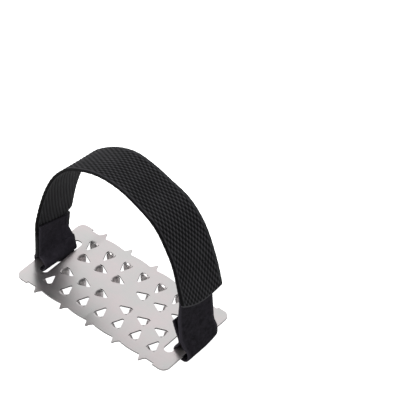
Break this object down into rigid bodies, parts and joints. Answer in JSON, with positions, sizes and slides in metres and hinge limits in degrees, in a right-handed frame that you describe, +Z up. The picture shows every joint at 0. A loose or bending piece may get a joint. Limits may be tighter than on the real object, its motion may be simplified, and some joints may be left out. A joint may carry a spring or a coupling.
{
  "type": "strap-on ice cleat",
  "caption": "Strap-on ice cleat: a punched steel traction plate with curled teeth and edge spikes under the sole, and a webbing strap with a hook-and-loop closure over the shoe.",
  "frame": {"origin": "middle of the plate's flat top face, where the sole sits", "axes": "+Z up out of the plate towards the shoe, +X along the plate's length to the closing end of the strap, +Y to the plate's back long edge"},
  "size_m": [0.1425, 0.0744, 0.132],
  "materials": {
    "plate_steel": "satin stainless sheet with bright bends",
    "webbing": "black woven webbing with cross ribs",
    "tape": "black brushed loop tape, matte",
    "hook": "black hook tape, matte",
    "thread": "black sewing thread"
  },
  "bodies": {
    "plate": {"cleat_plate": "plate_steel"},
    "strap": {"strap_webbing": "webbing", "left_tape": "tape", "left_stitching": "thread", "hook_patch": "hook", "patch_stitching": "thread"},
    "closing_tape": {"right_tape": "tape", "tail_hook_patch": "hook"}
  },
  "joints": [
    {"name": "strap_swing", "type": "hinge", "parent": "plate", "child": "strap", "pos_m": [-0.0649, 0, -0.0006], "axis": [0, -1, 0], "range_deg": [0, 90]},
    {"name": "closing_tape_swing", "type": "hinge", "parent": "plate", "child": "closing_tape", "pos_m": [0.0649, 0, -0.0006], "axis": [0, -1, 0], "range_deg": [0, 40]}
  ]
}
